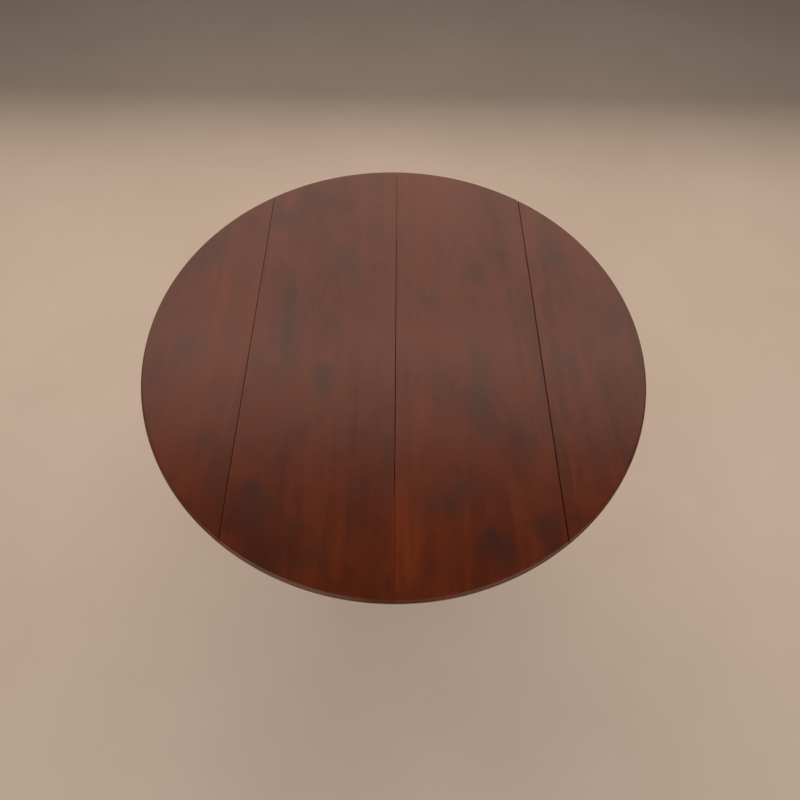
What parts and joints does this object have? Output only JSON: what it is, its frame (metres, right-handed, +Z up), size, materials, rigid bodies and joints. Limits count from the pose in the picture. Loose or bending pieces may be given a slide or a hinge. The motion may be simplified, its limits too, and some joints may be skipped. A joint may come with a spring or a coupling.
{
  "type": "round pedestal table",
  "caption": "Round pedestal dining table with a split top that pulls apart on geared slides, a drop leaf on each half, and a turned column on swept legs.",
  "frame": {"origin": "on the floor under the middle of the column", "axes": "+X across the two halves towards the right leaf, +Y along the seams towards the back, +Z up"},
  "size_m": [1.0668, 1.067, 0.749],
  "materials": {
    "stained_cherry": "dark red-brown stain under satin lacquer",
    "bare_maple": "planed and waxed",
    "brass": "aged",
    "steel": "zinc plated",
    "black_nylon": "matte"
  },
  "bodies": {
    "pedestal": {"mounting_plate": "stained_cherry", "column": "stained_cherry", "leg_front_left": "stained_cherry", "leg_front_right": "stained_cherry", "leg_back_left": "stained_cherry", "leg_back_right": "stained_cherry", "leg_brace": "steel", "brace_screws": "steel", "drop_finial": "stained_cherry", "floor_glides": "black_nylon", "front_rail": "bare_maple", "back_rail": "bare_maple", "rail_screws": "steel", "equalizer_axle": "steel"},
    "equalizer": {"equalizer_pinion": "black_nylon"},
    "left_half": {"top_left": "stained_cherry", "left_side_apron": "stained_cherry", "left_front_apron": "stained_cherry", "left_back_apron": "stained_cherry", "left_corner_blocks": "bare_maple", "left_front_runner": "bare_maple", "left_back_runner": "bare_maple", "left_rack": "black_nylon", "left_frame_screws": "steel", "left_hinge_plates": "brass", "left_hinge_pins": "steel", "left_hinge_screws": "brass", "left_support_guides": "bare_maple", "alignment_pins": "bare_maple", "lock_keeper": "brass"},
    "right_half": {"top_right": "stained_cherry", "right_side_apron": "stained_cherry", "right_front_apron": "stained_cherry", "right_back_apron": "stained_cherry", "right_corner_blocks": "bare_maple", "right_front_runner": "bare_maple", "right_back_runner": "bare_maple", "right_rack": "black_nylon", "right_frame_screws": "steel", "right_hinge_plates": "brass", "right_hinge_pins": "steel", "right_hinge_screws": "brass", "right_support_guides": "bare_maple", "lock_base": "brass", "lock_screws": "brass"},
    "left_leaf_board": {"left_leaf": "stained_cherry", "left_leaf_plates": "brass", "left_leaf_screws": "brass", "left_bearers": "stained_cherry", "left_bearer_screws": "steel"},
    "right_leaf_board": {"right_leaf": "stained_cherry", "right_leaf_plates": "brass", "right_leaf_screws": "brass", "right_bearers": "stained_cherry", "right_bearer_screws": "steel"},
    "left_support_pair": {"left_supports": "bare_maple"},
    "right_support_pair": {"right_supports": "bare_maple"},
    "lock": {"lock_lever": "brass"}
  },
  "joints": [
    {"name": "extend_right", "type": "slide", "parent": "pedestal", "child": "right_half", "axis": [1, 0, 0], "range_m": [0, 0.23]},
    {"name": "extend_left", "type": "slide", "parent": "pedestal", "child": "left_half", "axis": [-1, 0, 0], "range_m": [0, 0.23]},
    {"name": "pinion_spin", "type": "hinge", "parent": "pedestal", "child": "equalizer", "pos_m": [0, 0, 0.713], "axis": [0, 0, 1], "range_deg": [0, 550]},
    {"name": "right_leaf_drop", "type": "hinge", "parent": "right_half", "child": "right_leaf_board", "pos_m": [0.3085, 0, 0.7305], "axis": [0, 1, 0], "range_deg": [0, 90]},
    {"name": "left_leaf_drop", "type": "hinge", "parent": "left_half", "child": "left_leaf_board", "pos_m": [-0.3085, 0, 0.7305], "axis": [0, -1, 0], "range_deg": [0, 90]},
    {"name": "right_support_slide", "type": "slide", "parent": "right_half", "child": "right_support_pair", "axis": [-1, 0, 0], "range_m": [0, 0.15]},
    {"name": "left_support_slide", "type": "slide", "parent": "left_half", "child": "left_support_pair", "axis": [1, 0, 0], "range_m": [0, 0.15]},
    {"name": "lock_turn", "type": "hinge", "parent": "right_half", "child": "lock", "pos_m": [0.021, -0.262, 0.7205], "axis": [0, 0, -1], "range_deg": [0, 60]}
  ],
  "couplings": [
    {"joint": "extend_left", "follows": "extend_right", "ratio": 1},
    {"joint": "pinion_spin", "follows": "extend_right", "rad_per_m": 41.667},
    {"joint": "right_support_slide", "follows": "right_leaf_drop", "m_per_rad": 0.0954},
    {"joint": "left_support_slide", "follows": "left_leaf_drop", "m_per_rad": 0.0954}
  ]
}
